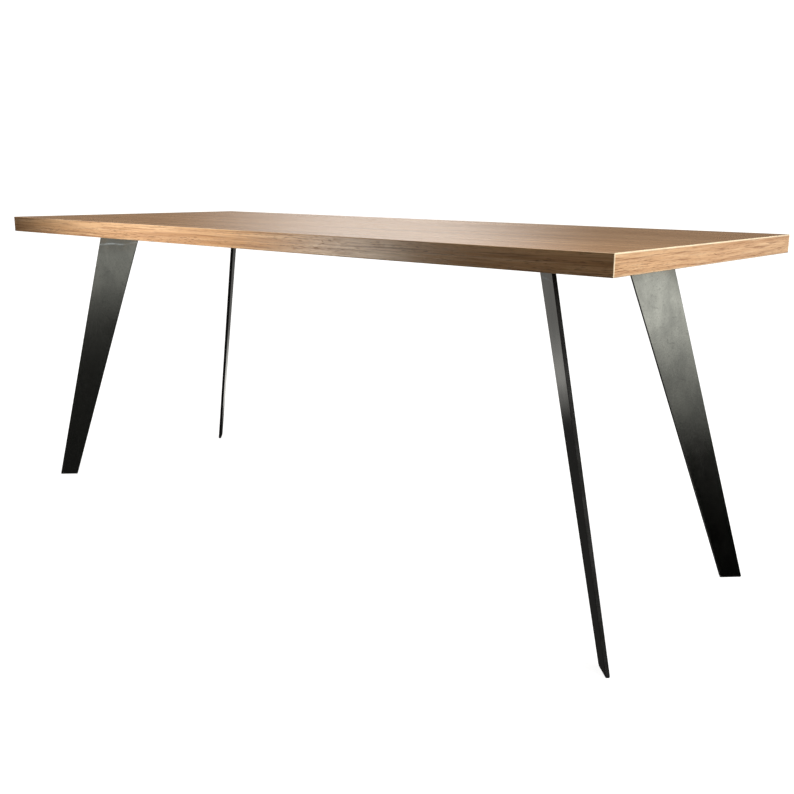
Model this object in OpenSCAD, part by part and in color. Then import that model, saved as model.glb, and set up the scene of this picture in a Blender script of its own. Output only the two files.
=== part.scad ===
// Dining or work table: an edge-banded board on four flat tapered steel blade legs.
// Origin on the floor under the middle of the top. X runs along the length, Y to the back, Z up.
// Each leg is a blade welded to a mounting plate that is screwed to the underside.

/* [Table] */
// Length of the top, along X
top_l = 1800; // [1400:10:2200]
// Width of the top, along Y
top_w = 750; // [650:10:1000]
// Height of the top face above the floor
table_h = 740; // [700:5:780]

/* [Board] */
// Whole thickness of the board
board_t = 38; // [30:1:50]
// Thickness of the decor sheet and of the balancing sheet
sheet_t = 0.8; // [0.6:0.1:1.2]
// Thickness of the edge bands
band_t = 2; // [2:0.5:3]
// Radius of the outer arrises of the edge bands
arris_r = 1.5; // [0.5:0.25:1.75]

/* [Legs] */
// Thickness of the steel blade
blade_t = 8; // [6:1:12]
// Width of the blade at its head
head_w = 102; // [80:1:130]
// Width of the blade at its foot
foot_w = 47; // [35:1:70]
// Head corner to the end of the top, along X
head_inset_x = 195; // [150:5:260]
// Head corner to the long side of the top, along Y
head_inset_y = 142; // [122:2:200]
// How far the foot corner reaches out past the head corner, along the blade
foot_reach = 177; // [100:1:200]
// How far the foot leans out of the blade's upright plane, towards the table's end
foot_lean = 87; // [40:1:120]
// Thickness of the pad under the foot
pad_t = 2; // [1:0.5:4]

/* [Fixings] */
// Mounting plate, along the blade
plate_l = 150; // [145:1:180]
// Mounting plate, across the blade
plate_w = 90; // [84:1:110]
// Thickness of the mounting plate
plate_t = 6; // [4:1:8]
// Corner radius of the mounting plate
plate_corner_r = 8; // [2:1:12]
// Screw spacing along the blade
screw_pitch_l = 120; // [110:1:126]
// Screw spacing across the blade
screw_pitch_w = 60; // [54:1:66]
// Leg length of the fillet weld at the blade's head
weld_leg = 5; // [3:0.5:7]

/* [Hidden] */
CORNERS = ["fl", "fr", "bl", "br"];
BOARD_NODES = [
    "core_board", "top_sheet", "bottom_sheet",
    "edge_band_front", "edge_band_back", "edge_band_left", "edge_band_right"
];
LEG_NODES = [
    "leg_blade_", "mounting_plate_", "weld_bead_", "foot_pad_", "plate_screws_", "threaded_inserts_"
];

$fn = 64;
eps = 0.01;

// Colours
wood_top_c = [0.66, 0.50, 0.35];
wood_band_c = [0.84, 0.64, 0.44];
chipboard_c = [0.76, 0.66, 0.50];
backing_c = [0.52, 0.41, 0.31];
steel_c = [0.36, 0.37, 0.36];
weld_c = [0.45, 0.45, 0.46];
screw_c = [0.16, 0.16, 0.17];
zinc_c = [0.78, 0.76, 0.70];
rubber_c = [0.08, 0.08, 0.08];

// Board
underside_z = table_h - board_t;
core_l = top_l - 2 * band_t;
core_w = top_w - 2 * band_t;

// Leg, in its own frame: origin in the underside plane at the middle of the blade's head,
// x along the blade and away from the table's middle, y across it, z up
leg_turn = 45;
lean_angle = atan(foot_lean / underside_z);
lean_slope = foot_lean / underside_z;
slant_len = underside_z / cos(lean_angle);
blade_half_y = blade_t / cos(lean_angle) / 2;
outer_slope = foot_reach / underside_z;
inner_slope = (foot_reach + head_w - foot_w) / underside_z;
// The blade's outline runs this far past its level cuts
blade_over = 20;
leg_x = top_l / 2 - head_inset_x - head_w / 2 * cos(leg_turn);
leg_y = top_w / 2 - head_inset_y - head_w / 2 * sin(leg_turn);

// Foot pad, set back from the edges of the blade's foot
pad_inset = 0.5;
pad_corner_r = 1.5;

// M6 button head screw
screw_r = 2.9;
screw_len = 16;
screw_head_r = 5.25;
screw_head_h = 3.3;
screw_socket_af = 4;
screw_socket_depth = 2;
plate_hole_r = 3.5;

// M6 threaded insert with an outer wood thread
insert_r = 5;
insert_root_r = 4.2;
insert_bore_r = 3;
insert_len = 15;
insert_pitch = 2.5;
insert_collar_h = 2.5;
insert_crest = 0.6; // height of a thread's crest, as a share of its pitch
insert_hole_depth = 17;
insert_drive_af = 6.8;
insert_drive_depth = 4;

// Places of a leg's four screws
SCREW_SPOTS = [for (x = [-1, 1], y = [-1, 1]) [x * screw_pitch_l / 2, y * screw_pitch_w / 2]];

// Distance across flats to the corner radius of a hexagon
function hex_r(across_flats) = across_flats / 2 / cos(30);

// x of the blade's edges and y of its mid-plane at height z of the leg's frame
function outer_x(z) = head_w / 2 - outer_slope * z;
function inner_x(z) = -head_w / 2 - inner_slope * z;
function mid_y(z) = lean_slope * z;

// Moves the leg's frame to one corner of the table
module at_corner(corner) {
    mirror([corner[1] == "l" ? 1 : 0, 0, 0])
    mirror([0, corner[0] == "f" ? 1 : 0, 0])
    translate([leg_x, leg_y, underside_z])
    rotate([0, 0, leg_turn])
    children();
}

module at_screws() {
    for (spot = SCREW_SPOTS) translate([spot[0], spot[1], 0]) children();
}

// Rectangle with round corners, centred
module round_rect(l, w, r) {
    square([l - 2 * r, w], center = true);
    square([l, w - 2 * r], center = true);
    for (x = [-1, 1], y = [-1, 1])
        translate([x * (l / 2 - r), y * (w / 2 - r)])
        circle(r = r);
}

// The whole board as one block with rounded arrises
module board_block() {
    translate([0, 0, underside_z + board_t / 2])
    intersection() {
        linear_extrude(height = board_t, center = true)
            round_rect(top_l, top_w, arris_r);
        rotate([90, 0, 0])
            linear_extrude(height = top_w, center = true)
            round_rect(top_l, board_t, arris_r);
        rotate([90, 0, 90])
            linear_extrude(height = top_l, center = true)
            round_rect(top_w, board_t, arris_r);
    }
}

// A box with its middle and its size given as [x, y], from height z0 to height z1
module board_zone(centre, size, z0, z1) {
    translate([centre[0] - size[0] / 2, centre[1] - size[1] / 2, z0])
        cube([size[0], size[1], z1 - z0]);
}

module core_board() {
    color(chipboard_c)
    difference() {
        board_zone([0, 0], [core_l, core_w], underside_z + sheet_t, table_h - sheet_t);
        for (corner = CORNERS)
            at_corner(corner) at_screws() cylinder(r = insert_r, h = insert_hole_depth);
    }
}

module top_sheet() {
    color(wood_top_c)
    board_zone([0, 0], [core_l, core_w], table_h - sheet_t, table_h);
}

module bottom_sheet() {
    color(backing_c)
    difference() {
        board_zone([0, 0], [core_l, core_w], underside_z, underside_z + sheet_t);
        for (corner = CORNERS)
            at_corner(corner) at_screws()
            translate([0, 0, -eps]) cylinder(r = insert_r, h = insert_hole_depth);
    }
}

// The long bands run the whole length and lap the ends of the short ones
module long_band(side) {
    color(wood_band_c)
    intersection() {
        board_block();
        board_zone([0, side * (top_w - band_t) / 2], [top_l, band_t], underside_z, table_h);
    }
}

module short_band(side) {
    color(wood_band_c)
    intersection() {
        board_block();
        board_zone([side * (top_l - band_t) / 2, 0], [band_t, core_w], underside_z, table_h);
    }
}

// Tapered blade, leaning out of its own plane, sawn level at the plate and at the pad
module leg_blade() {
    color(steel_c)
    intersection() {
        rotate([-lean_angle, 0, 0])
        rotate([90, 0, 0])
        linear_extrude(height = blade_t, center = true)
        polygon([
            for (v = [blade_over, -slant_len - blade_over]) [inner_x(v * cos(lean_angle)), v],
            for (v = [-slant_len - blade_over, blade_over]) [outer_x(v * cos(lean_angle)), v]
        ]);
        translate([-top_w, -top_w, -underside_z + pad_t])
            cube([2 * top_w, 2 * top_w, underside_z - pad_t - plate_t]);
    }
}

module mounting_plate() {
    color(steel_c)
    difference() {
        translate([0, 0, -plate_t])
            linear_extrude(height = plate_t)
            round_rect(plate_l, plate_w, plate_corner_r);
        at_screws()
            translate([0, 0, -plate_t - eps]) cylinder(r = plate_hole_r, h = plate_t + 2 * eps);
    }
}

// A fillet weld along each face of the blade's head
module weld_bead() {
    z0 = -plate_t;
    z1 = -plate_t - weld_leg;
    color(weld_c)
    for (side = [-1, 1])
        rotate([90, 0, 90])
        translate([0, 0, inner_x(z1)])
        linear_extrude(height = outer_x(z0) - inner_x(z1))
        polygon([
            [mid_y(z0) + side * blade_half_y, z0],
            [mid_y(z0) + side * (blade_half_y + weld_leg), z0],
            [mid_y(z1) + side * blade_half_y, z1]
        ]);
}

module foot_pad() {
    z = -underside_z + pad_t;
    pad_l = outer_x(z) - inner_x(z) - 2 * pad_inset;
    color(rubber_c)
    translate([(outer_x(z) + inner_x(z)) / 2, mid_y(z), -underside_z])
        linear_extrude(height = pad_t)
        round_rect(pad_l, 2 * (blade_half_y - pad_inset), pad_corner_r);
}

// Button head screw, its head against the plate's lower face
module screw() {
    dome_r = (screw_head_r * screw_head_r + screw_head_h * screw_head_h) / (2 * screw_head_h);
    translate([0, 0, -plate_t])
    difference() {
        union() {
            cylinder(r = screw_r, h = screw_len);
            rotate_extrude()
            intersection() {
                translate([0, -screw_head_h + dome_r]) circle(r = dome_r);
                translate([0, -screw_head_h]) square([screw_head_r, screw_head_h]);
            }
        }
        translate([0, 0, -screw_head_h - eps])
            cylinder(r = hex_r(screw_socket_af), h = screw_socket_depth, $fn = 6);
    }
}

module plate_screws() {
    color(screw_c) at_screws() screw();
}

// Sleeve with a saw-tooth outer thread, modelled as rings, and a hexagonal drive at its mouth
module insert() {
    turns = floor((insert_len - insert_collar_h) / insert_pitch);
    difference() {
        rotate_extrude()
        polygon(concat(
            [[insert_bore_r, 0], [insert_r, 0], [insert_r, insert_collar_h / 2]],
            [for (i = [0 : turns - 1], step = [0, 1])
                let (z = insert_collar_h + i * insert_pitch)
                step == 0 ? [insert_root_r, z] : [insert_r, z + insert_pitch * insert_crest]],
            [[insert_root_r, insert_len], [insert_bore_r, insert_len]]
        ));
        translate([0, 0, -eps])
            cylinder(r = hex_r(insert_drive_af), h = insert_drive_depth, $fn = 6);
    }
}

module threaded_inserts() {
    color(zinc_c) at_screws() insert();
}

core_board();
top_sheet();
bottom_sheet();
long_band(-1);  // edge_band_front
long_band(1);  // edge_band_back
short_band(-1);  // edge_band_left
short_band(1);  // edge_band_right
for (corner = CORNERS) {
    at_corner(corner) leg_blade();
    at_corner(corner) mounting_plate();
    at_corner(corner) weld_bead();
    at_corner(corner) foot_pad();
    at_corner(corner) plate_screws();
    at_corner(corner) threaded_inserts();
}
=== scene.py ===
"""Looks, light and camera for the table. Lengths are in metres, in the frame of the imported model."""

import math

import bmesh
import bpy
from mathutils import Euler, Matrix, Vector


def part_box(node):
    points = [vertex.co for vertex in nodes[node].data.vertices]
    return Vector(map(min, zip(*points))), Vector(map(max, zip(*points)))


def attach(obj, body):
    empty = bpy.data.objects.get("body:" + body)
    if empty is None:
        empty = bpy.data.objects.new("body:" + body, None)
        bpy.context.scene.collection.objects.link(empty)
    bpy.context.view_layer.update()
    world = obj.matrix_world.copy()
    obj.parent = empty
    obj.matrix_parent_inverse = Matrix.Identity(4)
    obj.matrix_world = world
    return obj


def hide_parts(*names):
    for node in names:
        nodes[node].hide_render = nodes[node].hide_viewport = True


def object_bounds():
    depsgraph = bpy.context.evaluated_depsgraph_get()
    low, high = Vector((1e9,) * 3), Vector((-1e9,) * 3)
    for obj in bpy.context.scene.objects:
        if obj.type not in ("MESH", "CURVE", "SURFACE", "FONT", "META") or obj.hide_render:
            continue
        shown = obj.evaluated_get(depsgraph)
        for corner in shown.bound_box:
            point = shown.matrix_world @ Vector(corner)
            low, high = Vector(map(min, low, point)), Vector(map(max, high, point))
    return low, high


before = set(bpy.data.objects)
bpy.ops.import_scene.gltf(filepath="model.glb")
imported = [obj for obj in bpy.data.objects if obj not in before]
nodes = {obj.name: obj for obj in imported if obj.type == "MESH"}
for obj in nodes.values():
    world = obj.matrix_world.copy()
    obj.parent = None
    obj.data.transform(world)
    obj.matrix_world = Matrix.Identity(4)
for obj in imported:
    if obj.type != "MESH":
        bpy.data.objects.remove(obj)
cad_low, cad_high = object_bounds()

CORNERS = ("fl", "fr", "bl", "br")


def rgb(red, green, blue):
    """A display colour from 0 to 255 as the linear colour that a shader takes."""
    def linear(value):
        share = value / 255
        return share / 12.92 if share <= 0.04045 else ((share + 0.055) / 1.055) ** 2.4
    return (linear(red), linear(green), linear(blue), 1.0)


class Tree:
    """The node tree of one material or of the world."""

    def __init__(self, tree):
        self.nodes, self.links = tree.nodes, tree.links
        self.nodes.clear()

    def put(self, socket, value):
        if isinstance(value, bpy.types.NodeSocket):
            self.links.new(value, socket)
        else:
            socket.default_value = value

    def make(self, kind, inputs=None, **settings):
        node = self.nodes.new(kind)
        for name, value in settings.items():
            setattr(node, name, value)
        for name, value in (inputs or {}).items():
            self.put(node.inputs[name], value)
        return node

    def maths(self, operation, first, second=0.0):
        return self.make("ShaderNodeMath", {0: first, 1: second}, operation=operation).outputs[0]

    def vector(self, operation, first, second=(0.0, 0.0, 0.0), result="Vector"):
        return self.make("ShaderNodeVectorMath", {0: first, 1: second}, operation=operation).outputs[result]

    def parts(self, vector):
        """The x, y and z sockets of a vector."""
        return self.make("ShaderNodeSeparateXYZ", {0: vector}).outputs

    def mix(self, share, first, second):
        """The first colour, brought to the second by share."""
        node = self.make("ShaderNodeMix", data_type="RGBA")
        self.put(node.inputs[0], share)
        self.put(node.inputs[6], first)
        self.put(node.inputs[7], second)
        return node.outputs[2]

    def span(self, value, low, high, to_low=0.0, to_high=1.0):
        """Value from low to high, brought smoothly to the range to_low to to_high."""
        return self.make(
            "ShaderNodeMapRange",
            {"Value": value, "From Min": low, "From Max": high, "To Min": to_low, "To Max": to_high},
            interpolation_type="SMOOTHSTEP",
        ).outputs[0]

    def noise(self, place, size, detail=3.0, roughness=0.55, shift=(0.0, 0.0, 0.0)):
        """Noise with features as long as size along each axis, in metres."""
        scaled = self.make(
            "ShaderNodeMapping",
            {"Vector": place, "Location": shift, "Scale": tuple(1 / length for length in size)},
        ).outputs[0]
        return self.make(
            "ShaderNodeTexNoise", {"Vector": scaled, "Scale": 1.0, "Detail": detail, "Roughness": roughness}
        ).outputs["Fac"]


def new_material(name):
    """A material with a Principled shader, and its tree, its shader and the place of each point in metres."""
    material = bpy.data.materials.new(name)
    material.use_nodes = True
    tree = Tree(material.node_tree)
    shader = tree.make("ShaderNodeBsdfPrincipled")
    tree.make("ShaderNodeOutputMaterial", {"Surface": shader.outputs[0]})
    place = tree.make("ShaderNodeTexCoord").outputs["Object"]
    return material, tree, shader, place


def bump(tree, shader, height, depth):
    """Raises the surface by depth where height is 1."""
    raised = tree.make("ShaderNodeBump", {"Height": height, "Distance": depth, "Strength": 1.0})
    tree.put(shader.inputs["Normal"], raised.outputs[0])


# ---------------------------------------------------------------- wood decor

WOOD_PALE = rgb(238, 203, 162)
WOOD_LIGHT = rgb(217, 174, 130)
WOOD_MID = rgb(192, 146, 103)
WOOD_DARK = rgb(138, 93, 59)
WOOD_PORE = rgb(84, 52, 31)
# Pale core of the bands, on the short bands also a painted highlight along their arrises
BAND_CORE_AND_HIGHLIGHT = rgb(250, 230, 196)
# Distances from an arris at which the pale core of a band, on the short bands partly a painted highlight,
# starts and is full
PALE_REACH = 0.0034
PALE_FULL = 0.0012
# Distance from the board's faces over which it goes from its lower to its upper share; the full upper share
# on the top arris is partly painted highlight
PALE_MARGIN = 0.012
# How far the grain wanders across itself
GRAIN_SWAY = 0.008

board_high = Vector((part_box("edge_band_right")[1].x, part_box("edge_band_back")[1].y, cad_high.z))
board_low_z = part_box("edge_band_front")[0].z


def grain_size(along, length, width):
    """The size of a grain feature that runs along axis x or y."""
    return (length, width, width) if along == "x" else (width, length, width)


def arris_distance(tree, place):
    """How far a point on the outside of the board is from its nearest arris."""
    across = tree.parts(tree.vector("ABSOLUTE", place))
    height = tree.parts(place)[2]
    to_end = tree.maths("SUBTRACT", board_high.x, across[0])
    to_side = tree.maths("SUBTRACT", board_high.y, across[1])
    to_level = tree.maths(
        "MINIMUM", tree.maths("SUBTRACT", board_high.z, height), tree.maths("SUBTRACT", height, board_low_z)
    )
    nearer = tree.maths("MINIMUM", to_end, to_side)
    farther = tree.maths("MAXIMUM", to_end, to_side)
    return tree.maths("MAXIMUM", nearer, tree.maths("MINIMUM", farther, to_level))


def trimmed_ends(tree, _place):
    """Where a long band shows its pale core: its two cut ends, and a little on its arrises."""
    normal = tree.make("ShaderNodeNewGeometry").outputs["Normal"]
    towards = tree.parts(tree.vector("ABSOLUTE", normal))
    ends = tree.span(towards[0], 0.25, 0.55)
    top = tree.span(towards[2], 0.2, 0.7, 0.0, 0.25)
    return tree.maths("MAXIMUM", ends, top)


def pale_core_and_highlight_edges(tree, place):
    """Where a short band shows its pale core and a painted highlight: along its top arris, and faintly along
    the lower one.
    """
    near = tree.span(arris_distance(tree, place), PALE_REACH, PALE_FULL)
    share = tree.span(
        tree.parts(place)[2], board_low_z + PALE_MARGIN, board_high.z - PALE_MARGIN, 0.3, 1.0
    )
    return tree.maths("MULTIPLY", near, share)


def wood_decor(name, along, seed, streak, depth, gloss, trimmed=None):
    """Satin decor with fine straight grain along one axis. Streak is the length and width of a common dark
    streak, depth its strength, gloss the least roughness; trimmed says where the pale core, and on the short
    bands a painted highlight, shows."""
    material, tree, shader, place = new_material(name)
    shift = (seed, seed * 1.7, seed * 2.3)

    def grain(length, width, detail, roughness=0.55):
        return tree.noise(waved, grain_size(along, length, width), detail, roughness, shift)

    wander = tree.noise(place, grain_size(along, 0.60, 0.10), 2.0, 0.5, shift)
    off = tree.maths("MULTIPLY", tree.maths("SUBTRACT", wander, 0.5), GRAIN_SWAY)
    push = tree.make("ShaderNodeCombineXYZ", {"Y" if along == "x" else "X": off, "Z": off}).outputs[0]
    waved = tree.vector("ADD", place, push)

    broad = grain(0.8, 0.013, 3.0)
    lines = grain(0.40, 0.0070, 3.0, 0.6)
    streaks = grain(streak[0], streak[1], 3.0, 0.62)
    gaps = grain(streak[0] * 1.3, streak[1] * 1.2, 2.0, 0.5)
    fine = grain(0.05, 0.0013, 3.0, 0.6)
    pores = grain(0.018, 0.0009, 1.5, 0.5)
    patches = grain(0.30, 0.016, 2.0)

    colour = tree.mix(tree.span(broad, 0.38, 0.62), WOOD_MID, WOOD_LIGHT)
    colour = tree.mix(tree.span(gaps, 0.46, 0.30, 0.0, 0.45), colour, WOOD_PALE)
    colour = tree.mix(tree.span(lines, 0.48, 0.70, 0.0, 0.35), colour, WOOD_DARK)
    colour = tree.mix(tree.span(streaks, 0.50, 0.66, 0.0, depth), colour, WOOD_DARK)
    colour = tree.mix(tree.span(fine, 0.48, 0.75, 0.0, 0.35), colour, WOOD_DARK)
    pore_mask = tree.maths(
        "MULTIPLY", tree.span(pores, 0.58, 0.68), tree.span(patches, 0.38, 0.60, 0.3, 1.0)
    )
    colour = tree.mix(tree.maths("MULTIPLY", pore_mask, 0.7), colour, WOOD_PORE)
    # Pale core of the bands; on the short bands it is also a painted highlight, fullest along the top arris
    if trimmed is not None:
        rubbed = tree.noise(place, (0.05, 0.05, 0.05), 4.0, 0.6, shift)
        bare_and_highlight = tree.maths("MULTIPLY", trimmed(tree, place), tree.span(rubbed, 0.3, 0.6, 0.75, 1.0))
        colour = tree.mix(bare_and_highlight, colour, BAND_CORE_AND_HIGHLIGHT)
    tree.put(shader.inputs["Base Color"], colour)
    tree.put(shader.inputs["Roughness"], tree.span(streaks, 0.3, 0.7, gloss, gloss + 0.10))
    relief = tree.maths("SUBTRACT", tree.maths("MULTIPLY", fine, 0.35), pore_mask)
    bump(tree, shader, relief, 0.00004)
    return material


def balancing_sheet():
    """Plain brown melamine paper under the board, matt, with fibres and a faint mottle."""
    material, tree, shader, place = new_material("backing")
    mottle = tree.noise(place, (0.06, 0.05, 0.05), 4.0)
    fibres = tree.noise(place, (0.006, 0.0009, 0.003), 3.0, 0.65)
    crossed = tree.noise(place, (0.0010, 0.005, 0.003), 3.0, 0.65, (3.0, 1.0, 2.0))
    colour = tree.mix(tree.span(mottle, 0.35, 0.65), rgb(134, 108, 84), rgb(150, 123, 97))
    colour = tree.mix(tree.span(fibres, 0.52, 0.72, 0.0, 0.5), colour, rgb(104, 82, 62))
    colour = tree.mix(tree.span(crossed, 0.55, 0.75, 0.0, 0.4), colour, rgb(178, 152, 122))
    tree.put(shader.inputs["Base Color"], colour)
    tree.put(shader.inputs["Roughness"], tree.span(mottle, 0.3, 0.7, 0.58, 0.68))
    bump(tree, shader, tree.maths("ADD", fibres, crossed), 0.00003)
    return material


def particle_board():
    """Pressed chips of mixed tone, seen on the walls of the insert holes."""
    material, tree, shader, place = new_material("core")
    chips = tree.make("ShaderNodeMapping", {"Vector": place, "Scale": (260.0, 420.0, 900.0)}).outputs[0]
    cells = tree.make("ShaderNodeTexVoronoi", {"Vector": chips, "Scale": 1.0})
    tone = tree.make("ShaderNodeSeparateColor", {0: cells.outputs["Color"]}).outputs[0]
    colour = tree.mix(tone, rgb(164, 128, 84), rgb(222, 190, 142))
    gap = tree.span(cells.outputs["Distance"], 0.45, 0.8)
    colour = tree.mix(tree.maths("MULTIPLY", gap, 0.6), colour, rgb(104, 78, 50))
    tree.put(shader.inputs["Base Color"], colour)
    tree.put(shader.inputs["Roughness"], tree.span(tone, 0.0, 1.0, 0.75, 0.9))
    bump(tree, shader, tree.maths("SUBTRACT", tone, gap), 0.0002)
    return material


# ---------------------------------------------------------------- metals and rubber

STEEL_TONE = rgb(120, 122, 117)
STEEL_SCALE = rgb(104, 106, 102)
STEEL_TINT = rgb(116, 106, 92)
STEEL_HIGHLIGHT_LINE = rgb(168, 174, 176)
# The painted highlight, a pale line: how far below the head it runs, and its half width and its sway
HIGHLIGHT_LINE_DROP = 0.024
HIGHLIGHT_LINE_WIDTH = 0.0035
HIGHLIGHT_LINE_SWAY = 0.004
# Below the head the steel is duller: over this reach, up to this distance, by this roughness
DULL_REACH = 0.06
DULL_END = 0.01
DULLER = 0.06


def rolled_steel(name, head_z, tint_reach, seed):
    """Hot-rolled steel under a thin satin lacquer: mill scale in faint clouds, fine rolling marks, and heat
    tint from the weld that stains the head down to tint_reach below head_z; one pale line under the head is a
    painted highlight."""
    material, tree, shader, place = new_material(name)
    shift = (seed, seed * 0.6, seed * 1.9)
    clouds = tree.noise(place, (0.055, 0.055, 0.11), 5.0, 0.6, shift)
    specks = tree.noise(place, (0.0035, 0.0035, 0.005), 3.0, 0.6, shift)
    marks = tree.noise(place, (0.0011, 0.0011, 0.16), 3.0, 0.6, shift)
    smudges = tree.noise(place, (0.020, 0.020, 0.012), 4.0, 0.6, shift)
    colour = tree.mix(tree.span(clouds, 0.36, 0.66), STEEL_TONE, STEEL_SCALE)
    colour = tree.mix(tree.span(specks, 0.56, 0.72, 0.0, 0.30), colour, rgb(62, 62, 62))
    colour = tree.mix(tree.span(marks, 0.50, 0.75, 0.0, 0.30), colour, rgb(146, 146, 142))
    colour = tree.mix(tree.span(smudges, 0.60, 0.72, 0.0, 0.35), colour, rgb(70, 72, 70))
    height = tree.parts(place)[2]
    near_weld = tree.span(height, head_z - tint_reach, head_z)
    tint = tree.maths("MULTIPLY", near_weld, tree.span(smudges, 0.42, 0.62, 0.15, 0.7))
    colour = tree.mix(tint, colour, STEEL_TINT)
    # Painted highlight: a pale, wavering line across the steel a little below the head, in place of light
    # caught there
    waves = tree.noise(place, (0.09, 0.09, 5.0), 1.0, 0.5, shift)
    sway = tree.span(waves, 0.3, 0.7, -HIGHLIGHT_LINE_SWAY, HIGHLIGHT_LINE_SWAY)
    above_line = tree.maths("SUBTRACT", tree.maths("ADD", height, sway), head_z - HIGHLIGHT_LINE_DROP)
    near_line = tree.span(tree.maths("ABSOLUTE", above_line), HIGHLIGHT_LINE_WIDTH, 0.0, 0.0, 0.8)
    line = tree.maths("MULTIPLY", near_line, tree.span(smudges, 0.35, 0.6, 1.0, 0.2))
    colour = tree.mix(line, colour, STEEL_HIGHLIGHT_LINE)
    tree.put(shader.inputs["Base Color"], colour)
    tree.put(shader.inputs["Metallic"], 1.0)
    dull = tree.span(height, head_z - DULL_REACH, head_z - DULL_END, 0.0, DULLER)
    rough = tree.maths(
        "ADD", tree.span(clouds, 0.3, 0.7, 0.10, 0.14), tree.span(marks, 0.3, 0.7, -0.02, 0.03)
    )
    tree.put(shader.inputs["Roughness"], tree.maths("ADD", rough, dull))
    tree.put(shader.inputs["Coat Weight"], 0.25)
    tree.put(shader.inputs["Coat Roughness"], 0.12)
    bump(tree, shader, tree.maths("ADD", tree.maths("MULTIPLY", marks, 0.5), specks), 0.00003)
    return material


def cut_steel(name, seed):
    """The cut edges of the steel, with fine saw marks in two dark tones."""
    material, tree, shader, place = new_material(name)
    marks = tree.noise(place, (0.004, 0.004, 0.0006), 3.0, 0.6, (seed, 0.0, 0.0))
    clouds = tree.noise(place, (0.03, 0.03, 0.05), 3.0, 0.6, (seed, 1.0, 0.0))
    colour = tree.mix(tree.span(marks, 0.40, 0.62), rgb(70, 70, 69), rgb(50, 50, 50))
    colour = tree.mix(tree.span(clouds, 0.4, 0.65, 0.0, 0.4), colour, rgb(48, 46, 44))
    tree.put(shader.inputs["Base Color"], colour)
    tree.put(shader.inputs["Metallic"], 1.0)
    tree.put(shader.inputs["Roughness"], tree.span(clouds, 0.3, 0.7, 0.36, 0.5))
    tree.put(shader.inputs["Coat Weight"], 0.2)
    tree.put(shader.inputs["Coat Roughness"], 0.3)
    bump(tree, shader, marks, 0.00005)
    return material


def weld_metal():
    """A brushed weld: silver, with patches of brown and blue tint."""
    material, tree, shader, place = new_material("weld")
    patches = tree.noise(place, (0.009, 0.009, 0.009), 3.0)
    specks = tree.noise(place, (0.0012, 0.0012, 0.0012), 3.0, 0.6)
    colour = tree.mix(tree.span(patches, 0.38, 0.62), rgb(168, 166, 160), rgb(116, 104, 92))
    colour = tree.mix(tree.span(patches, 0.58, 0.74), colour, rgb(84, 92, 112))
    colour = tree.mix(tree.span(specks, 0.56, 0.70, 0.0, 0.5), colour, rgb(60, 56, 52))
    tree.put(shader.inputs["Base Color"], colour)
    tree.put(shader.inputs["Metallic"], 1.0)
    tree.put(shader.inputs["Roughness"], tree.span(patches, 0.3, 0.7, 0.30, 0.46))
    bump(tree, shader, specks, 0.00008)
    return material


def black_oxide():
    """Blackened screw steel with an oily, slightly uneven film."""
    material, tree, shader, place = new_material("screw_steel")
    film = tree.noise(place, (0.004, 0.004, 0.004), 4.0, 0.6)
    grit = tree.noise(place, (0.0005, 0.0005, 0.0005), 2.0, 0.5)
    colour = tree.mix(tree.span(film, 0.35, 0.65), rgb(50, 51, 55), rgb(78, 76, 74))
    colour = tree.mix(tree.span(grit, 0.58, 0.72, 0.0, 0.5), colour, rgb(120, 116, 110))
    tree.put(shader.inputs["Base Color"], colour)
    tree.put(shader.inputs["Metallic"], 1.0)
    tree.put(shader.inputs["Roughness"], tree.span(film, 0.3, 0.7, 0.26, 0.42))
    bump(tree, shader, grit, 0.00002)
    return material


def zinc_plate():
    """Yellowish zinc on the inserts, cloudy, with turning marks round the sleeve."""
    material, tree, shader, place = new_material("insert_zinc")
    clouds = tree.noise(place, (0.005, 0.005, 0.003), 4.0, 0.6)
    turning = tree.noise(place, (0.02, 0.02, 0.00025), 2.0, 0.5)
    colour = tree.mix(tree.span(clouds, 0.35, 0.65), rgb(206, 198, 168), rgb(172, 168, 154))
    colour = tree.mix(tree.span(turning, 0.5, 0.7, 0.0, 0.4), colour, rgb(132, 126, 108))
    tree.put(shader.inputs["Base Color"], colour)
    tree.put(shader.inputs["Metallic"], 1.0)
    tree.put(shader.inputs["Roughness"], tree.span(clouds, 0.3, 0.7, 0.25, 0.4))
    bump(tree, shader, turning, 0.00003)
    return material


def pad_rubber():
    """Black rubber with a fine grain and a dusting of floor wear."""
    material, tree, shader, place = new_material("pad_rubber")
    grain = tree.noise(place, (0.0006, 0.0006, 0.0006), 3.0, 0.6)
    dust = tree.noise(place, (0.008, 0.008, 0.004), 4.0, 0.6)
    colour = tree.mix(tree.span(dust, 0.45, 0.75, 0.0, 0.5), rgb(28, 28, 28), rgb(74, 71, 66))
    colour = tree.mix(tree.span(grain, 0.5, 0.7, 0.0, 0.5), colour, rgb(16, 16, 16))
    tree.put(shader.inputs["Base Color"], colour)
    tree.put(shader.inputs["Roughness"], tree.span(dust, 0.3, 0.7, 0.72, 0.9))
    bump(tree, shader, grain, 0.00006)
    return material


# ---------------------------------------------------------------- pieces made from the CAD solids

SAME_POINT = 1e-6
FLAT_ANGLE = math.radians(1)
EDGE_ANGLE = math.radians(30)


def welded_mesh(node):
    """A bmesh of a CAD node with its split corners joined and its flat faces whole."""
    shape = bmesh.new()
    shape.from_mesh(nodes[node].data)
    bmesh.ops.remove_doubles(shape, verts=shape.verts, dist=SAME_POINT)
    bmesh.ops.dissolve_limit(shape, angle_limit=FLAT_ANGLE, verts=shape.verts, edges=shape.edges)
    return shape


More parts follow.
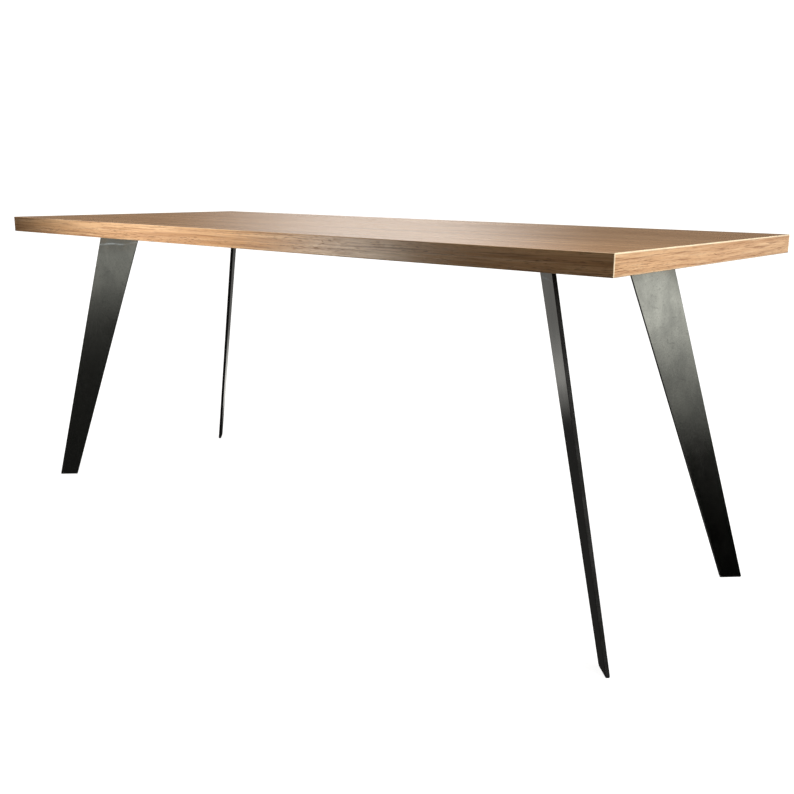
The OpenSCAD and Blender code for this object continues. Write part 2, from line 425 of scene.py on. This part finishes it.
def new_piece(name, shape, node, materials):
    """A piece that stands for a CAD node, made from a bmesh."""
    mesh = bpy.data.meshes.new(name)
    shape.to_mesh(mesh)
    shape.free()
    piece = bpy.data.objects.new(name, mesh)
    bpy.context.scene.collection.objects.link(piece)
    for material in materials:
        mesh.materials.append(material)
    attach(piece, "root")
    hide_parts(node)
    return piece


def soften_edges(piece, width, segments):
    """Rounds the sharp edges. The weighted normals keep the flat faces flat to the eye."""
    bevel = piece.modifiers.new("soft_edges", "BEVEL")
    bevel.width = width
    bevel.segments = segments
    bevel.limit_method = "ANGLE"
    bevel.angle_limit = EDGE_ANGLE
    flat = piece.modifiers.new("flat_faces", "WEIGHTED_NORMAL")
    flat.mode = "FACE_AREA"
    flat.weight = 100
    for face in piece.data.polygons:
        face.use_smooth = True


# ---------------------------------------------------------------- legs

EDGE_ROUND = 0.0009
# A blade's two wide faces are larger than this, in square metres; all its cut faces are smaller
WIDE_FACE_AREA = 0.02


def leg_blade(corner, steel, cut_face):
    node = "leg_blade_" + corner
    shape = welded_mesh(node)
    for face in shape.faces:
        face.material_index = 0 if face.calc_area() > WIDE_FACE_AREA else 1
    piece = new_piece("blade_" + corner, shape, node, [steel, cut_face])
    soften_edges(piece, EDGE_ROUND, 3)


def plate(corner, steel, cut_face):
    node = "mounting_plate_" + corner
    shape = welded_mesh(node)
    for face in shape.faces:
        face.material_index = 0 if abs(face.normal.z) > 0.5 else 1
    piece = new_piece("plate_" + corner, shape, node, [steel, cut_face])
    soften_edges(piece, EDGE_ROUND, 2)


RIPPLE_PITCH = 0.0034
RIPPLE_DEPTH = 0.00035
STEPS_PER_RIPPLE = 5
# Steps round the bead's outer face, and how far that bulges past the flat of the CAD prism
BEAD_ARC = 7
BEAD_BULGE = 0.0006
# The length over which an end is rounded off, and the size that is left at the very end
BEAD_END = 0.004
BEAD_END_SIZE = 0.12
# The bead's size against the prism's, and how much of it is uneven
BEAD_SIZE = 0.93
BEAD_UNEVEN = 0.05
# Two slow waves along the bead: their strengths, and their rates in radians a metre
WAVE_A, WAVE_A_RATE = 0.05, 900
WAVE_B, WAVE_B_RATE = 0.04, 337


def bead_profile(share, root, on_plate, on_blade, swell):
    """Points of one cross-section of a bead, from the plate round to the blade, then the root."""
    points = []
    out = ((on_plate + on_blade) / 2 - root).normalized()
    for step in range(BEAD_ARC + 1):
        turn = step / BEAD_ARC
        flat = on_plate.lerp(on_blade, turn)
        lift = math.sin(math.pi * turn)
        points.append(root + (flat - root) * share + out * (lift * swell * share))
    points.append(root)
    return points


def corner_points(end):
    """The root, the plate and the blade corner of one end of a prism."""
    lowest = min(end, key=lambda point: point.z)
    upper = [point for point in end if point is not lowest]
    upper.sort(key=lambda point: (point.xy - lowest.xy).length)
    return upper[0], upper[1], lowest


def add_bead(shape, near_end, far_end):
    """Adds one bead to a bmesh, between the two end triangles of its CAD prism."""
    root_a, plate_a, blade_a = corner_points(near_end)
    root_b, plate_b, blade_b = corner_points(far_end)
    length = (root_b - root_a).length
    steps = int(length / RIPPLE_PITCH) * STEPS_PER_RIPPLE
    rings = []
    for step in range(steps + 1):
        t = step / steps
        travelled = t * length
        from_end = min(travelled, length - travelled)
        taper = math.sin(min(1.0, BEAD_END_SIZE + from_end / BEAD_END) * math.pi / 2)
        phase = (step % STEPS_PER_RIPPLE) / STEPS_PER_RIPPLE
        wave_a = WAVE_A * math.sin(travelled * WAVE_A_RATE)
        wave_b = WAVE_B * math.sin(travelled * WAVE_B_RATE + 1)
        uneven = 1 + wave_a + wave_b
        scallop = RIPPLE_DEPTH * (1 - phase) ** 2
        swell = BEAD_BULGE * uneven + scallop
        share = taper * (BEAD_SIZE + BEAD_UNEVEN * uneven)
        points = bead_profile(
            share, root_a.lerp(root_b, t), plate_a.lerp(plate_b, t), blade_a.lerp(blade_b, t), swell
        )
        rings.append([shape.verts.new(point) for point in points])
    for ring, following in zip(rings, rings[1:]):
        count = len(ring)
        for i in range(count):
            j = (i + 1) % count
            shape.faces.new((ring[i], ring[j], following[j], following[i]))
    shape.faces.new(list(reversed(rings[0])))
    shape.faces.new(rings[-1])


def islands(shape):
    """The corner points of each separate body of a bmesh."""
    seen = set()
    for start in shape.verts:
        if start in seen:
            continue
        island, queue = [], [start]
        seen.add(start)
        while queue:
            vert = queue.pop()
            island.append(vert.co.copy())
            for edge in vert.link_edges:
                other = edge.other_vert(vert)
                if other not in seen:
                    seen.add(other)
                    queue.append(other)
        yield island


def weld_bead(corner, metal):
    """The two fillet beads of a blade's head, rippled and rounded off at their ends, in place of the CAD
    prisms."""
    node = "weld_bead_" + corner
    source = welded_mesh(node)
    side_x = 1 if corner[1] == "r" else -1
    side_y = 1 if corner[0] == "b" else -1
    along = Vector((side_x, side_y, 0)).normalized()
    shape = bmesh.new()
    for island in islands(source):
        island.sort(key=lambda point: point.dot(along))
        add_bead(shape, island[:3], island[3:])
    source.free()
    bmesh.ops.recalc_face_normals(shape, faces=shape.faces)
    piece = new_piece("bead_" + corner, shape, node, [metal])
    for face in piece.data.polygons:
        face.use_smooth = True


# ---------------------------------------------------------------- all materials and pieces


def dress(node, material):
    """Gives a CAD node its material."""
    mesh = nodes[node].data
    mesh.materials.clear()
    mesh.materials.append(material)


top_decor = wood_decor("decor_top", "x", seed=1.0, streak=(0.26, 0.0050), depth=0.42, gloss=0.14)
long_band = wood_decor(
    "decor_edge_long", "x", seed=4.0, streak=(0.15, 0.0026), depth=0.68, gloss=0.08, trimmed=trimmed_ends
)
short_band = wood_decor(
    "decor_edge_short", "y", seed=7.0, streak=(0.085, 0.0025), depth=0.72, gloss=0.15, trimmed=pale_core_and_highlight_edges
)
dress("top_sheet", top_decor)
dress("edge_band_front", long_band)
dress("edge_band_back", long_band)
dress("edge_band_left", short_band)
dress("edge_band_right", short_band)
dress("bottom_sheet", balancing_sheet())
dress("core_board", particle_board())

head_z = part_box("leg_blade_fl")[1].z
blade_steel = rolled_steel("leg_steel", head_z, tint_reach=0.06, seed=2.0)
plate_steel = rolled_steel("plate_steel", head_z, tint_reach=0.02, seed=9.0)
edge_steel = cut_steel("leg_steel_edge", seed=5.0)
weld = weld_metal()
screws, zinc, rubber = black_oxide(), zinc_plate(), pad_rubber()
for corner in CORNERS:
    leg_blade(corner, blade_steel, edge_steel)
    plate(corner, plate_steel, edge_steel)
    weld_bead(corner, weld)
    dress("plate_screws_" + corner, screws)
    dress("threaded_inserts_" + corner, zinc)
    dress("foot_pad_" + corner, rubber)

# ---------------------------------------------------------------- floor, light and camera

WHITE = (1.0, 1.0, 1.0, 1.0)
FLOOR_HALF = 30.0
FLOOR_GLOW = 0.92
FLOOR_PAINT = (0.35, 0.35, 0.35, 1.0)


def pale_floor():
    """A plain white floor, so bright that no shadow shows on it, and that isn't there from below."""
    mesh = bpy.data.meshes.new("floor")
    sides = ((-1, -1), (1, -1), (1, 1), (-1, 1))
    mesh.from_pydata([(x * FLOOR_HALF, y * FLOOR_HALF, 0) for x, y in sides], [], [(0, 1, 2, 3)])
    floor = bpy.data.objects.new("floor", mesh)
    bpy.context.scene.collection.objects.link(floor)
    material = bpy.data.materials.new("floor")
    material.use_nodes = True
    tree = Tree(material.node_tree)
    glow = tree.make("ShaderNodeEmission", {"Color": WHITE, "Strength": FLOOR_GLOW})
    paint = tree.make("ShaderNodeBsdfDiffuse", {"Color": FLOOR_PAINT})
    both = tree.make("ShaderNodeAddShader", {0: glow.outputs[0], 1: paint.outputs[0]})
    clear = tree.make("ShaderNodeBsdfTransparent")
    behind = tree.make("ShaderNodeNewGeometry").outputs["Backfacing"]
    surface = tree.make("ShaderNodeMixShader", {0: behind, 1: both.outputs[0], 2: clear.outputs[0]})
    tree.make("ShaderNodeOutputMaterial", {"Surface": surface.outputs[0]})
    mesh.materials.append(material)
    floor.visible_diffuse = False
    floor.visible_glossy = False
    floor.visible_shadow = False


# The room: what it glows with everywhere, how bright the camera sees it, and the two tints of its light
AIR_BASE = 0.012
WALL_SEEN = 1.1
FRONT_TINT = (1.0, 0.93, 0.82, 1.0)
BACK_TINT = (1.0, 0.975, 0.93, 1.0)
# Each layer of air: the sine of the height where it starts and where it is full, and its strength
AIR_LAYERS = (
    (-0.03, 0.04, 0.05),
    (0.0, 1.0, 0.32),
    (0.60, 1.0, 1.65),
    (-0.72, -0.97, 0.70),
)
# What is left of the air on the dark side of the room, in front of the table, and the span of a direction's y
# over which that side ends. The tint also ends towards the right, over a span of its x.
FRONT_SHADE = 0.12
FRONT_SPAN = (-0.6, 0.3)
RIGHT_SPAN = (-0.3, 0.3)
# Each bright wall, in degrees: heading of its middle, half its width and its soft edge, the heights over
# which it rises to full and over which it fades out, and its strength. Most are there for one surface to
# mirror.
BRIGHT_WALLS = (
    # the glare on the top
    (131.4, 7.4, 6.0, (2.2, 7.0), (14.0, 30.0), 1.42),
    # the back right blade, then its head, then the cut edge of the front right blade
    (-6.0, 24.0, 4.0, (-1.7, 2.0), (6.0, 9.0), 0.76),
    (-22.0, 10.0, 4.0, (2.6, 6.5), (6.8, 12.0), 2.2),
    (-38.0, 8.0, 6.0, (4.0, 10.0), (18.0, 26.0), 2.0),
    # the front band, and the end band at the right
    (-134.1, 3.3, 2.0, (-13.0, -7.0), (0.0, 6.0), 6.1),
    (-145.0, 2.0, 2.0, (-13.0, -7.0), (0.0, 6.0), 1.6),
    (62.0, 16.0, 8.0, (-12.0, -6.0), (2.0, 8.0), 0.45),
    # high and soft, for the top from other sides
    (100.0, 50.0, 20.0, (22.0, 34.0), (50.0, 70.0), 0.5),
    (-175.0, 30.0, 20.0, (22.0, 34.0), (50.0, 70.0), 0.5),
    # the wide faces of the front right and back left blades
    (143.0, 13.0, 8.0, (-15.5, -14.5), (-8.0, -1.0), 0.22),
    (138.0, 30.0, 10.0, (-45.0, -30.0), (-16.0, -12.0), 0.018),
    # low and soft, for the blades from other sides
    (180.0, 22.0, 12.0, (-45.0, -20.0), (-10.0, 8.0), 0.09),
    (20.0, 22.0, 14.0, (-45.0, -20.0), (-10.0, 8.0), 0.09),
    (85.0, 14.0, 14.0, (-45.0, -20.0), (-10.0, 8.0), 0.09),
    # the heads of the back left and the front right blades
    (131.5, 6.0, 3.0, (-14.9, -13.6), (-13.3, -9.5), 0.75),
    (147.0, 7.0, 3.0, (-17.2, -15.3), (-14.6, -11.0), 0.24),
    # the front left blade, then its head
    (-58.0, 20.0, 10.0, (-40.0, -30.0), (-18.0, -12.0), 0.040),
    (-58.5, 13.0, 9.0, (-21.4, -19.2), (-14.0, -4.0), 0.80),
    (-58.5, 13.0, 9.0, (-19.5, -14.5), (-14.0, -4.0), 0.60),
)


def patch(tree, level, up, wall):
    """A bright area of the wall with soft edges on all four sides, for a level direction and a height."""
    middle, half, soft, low, high, strength = wall
    towards = (math.cos(math.radians(middle)), math.sin(math.radians(middle)), 0.0)
    away = tree.maths("ARCCOSINE", tree.vector("DOT_PRODUCT", level, towards, "Value"))
    side = tree.span(away, math.radians(half + soft), math.radians(half - soft))
    rise = tree.span(up, math.sin(math.radians(low[0])), math.sin(math.radians(low[1])), 0.0, strength)
    fall = tree.span(up, math.sin(math.radians(high[1])), math.sin(math.radians(high[0])))
    return tree.maths("MULTIPLY", side, tree.maths("MULTIPLY", rise, fall))


def studio_air():
    """A dim room with a bright ceiling, a grey floor and bright walls. The camera sees white."""
    world = bpy.data.worlds.new("studio")
    bpy.context.scene.world = world
    world.use_nodes = True
    tree = Tree(world.node_tree)
    way = tree.make("ShaderNodeTexCoord").outputs["Generated"]
    right, back, up = tree.parts(way)
    level = tree.vector("NORMALIZE", tree.vector("MULTIPLY", way, (1.0, 1.0, 0.0)))
    strength = AIR_BASE
    for start, full, share in AIR_LAYERS:
        strength = tree.maths("ADD", strength, tree.span(up, start, full, 0.0, share))
    strength = tree.maths("MULTIPLY", strength, tree.span(back, *FRONT_SPAN, FRONT_SHADE, 1.0))
    for wall in BRIGHT_WALLS:
        strength = tree.maths("ADD", strength, patch(tree, level, up, wall))
    past_front = tree.maths("MAXIMUM", tree.span(back, *FRONT_SPAN), tree.span(right, *RIGHT_SPAN))
    tint = tree.mix(past_front, FRONT_TINT, BACK_TINT)
    room = tree.make("ShaderNodeBackground", {"Color": tint, "Strength": strength})
    seen = tree.make("ShaderNodeBackground", {"Color": WHITE, "Strength": WALL_SEEN})
    straight = tree.make("ShaderNodeLightPath").outputs["Is Camera Ray"]
    mixed = tree.make("ShaderNodeMixShader", {0: straight, 1: room.outputs[0], 2: seen.outputs[0]})
    tree.make("ShaderNodeOutputWorld", {"Surface": mixed.outputs[0]})


WARM = (1.0, 0.99, 0.97)


def light(data, at, target, watts):
    """A warm light that shines from at to target. Neither the camera nor a mirror sees it."""
    data.energy = watts
    data.color = WARM
    lamp = bpy.data.objects.new(data.name, data)
    lamp.location = at
    lamp.rotation_euler = (Vector(target) - lamp.location).to_track_quat("-Z", "Y").to_euler()
    lamp.visible_camera = False
    lamp.visible_glossy = False
    bpy.context.scene.collection.objects.link(lamp)


def softbox(name, at, target, size, watts):
    data = bpy.data.lights.new(name, "AREA")
    data.shape = "RECTANGLE"
    data.size, data.size_y = size
    light(data, at, target, watts)


def spot(name, at, target, angle, watts, radius):
    """A round spot of light that fades all the way from its middle to its edge."""
    data = bpy.data.lights.new(name, "SPOT")
    data.spot_size = math.radians(angle)
    data.spot_blend = 1.0
    data.shadow_soft_size = radius
    light(data, at, target, watts)


pale_floor()
studio_air()
softbox("side_right", at=(2.55, -0.05, 0.98), target=(0.9, 0.0, 0.72), size=(1.0, 0.8), watts=33)
softbox("above_right", at=(0.80, -0.34, 1.04), target=(0.80, -0.34, 0.74), size=(0.36, 0.14), watts=0.46)
softbox("above_left", at=(-0.70, 0.1, 2.2), target=(-0.70, 0.0, 0.74), size=(1.0, 0.8), watts=7.4)
spot("front_left", at=(-0.9, -2.7, 0.92), target=(-0.28, -0.375, 0.70), angle=28.0, watts=328, radius=0.2)

CAMERA_AT = (1.607, -1.697, 0.847)
# Degrees
CAMERA_YAW, CAMERA_PITCH, CAMERA_ROLL = 40.73, -12.78, 0.42
# Millimetres, of the lens and of the sensor's width
CAMERA_LENS, CAMERA_SENSOR = 43.62, 36.0

view = bpy.data.cameras.new("camera")
view.lens, view.sensor_width = CAMERA_LENS, CAMERA_SENSOR
view.clip_start, view.clip_end = 0.05, 100.0
camera = bpy.data.objects.new("camera", view)
bpy.context.scene.collection.objects.link(camera)
turn = Euler((math.radians(90 + CAMERA_PITCH), 0, math.radians(CAMERA_YAW))).to_matrix().to_4x4()
roll = Matrix.Rotation(math.radians(CAMERA_ROLL), 4, "Z")
camera.matrix_world = Matrix.Translation(CAMERA_AT) @ turn @ roll
bpy.context.scene.camera = camera
bpy.context.scene.view_settings.view_transform = "Standard"
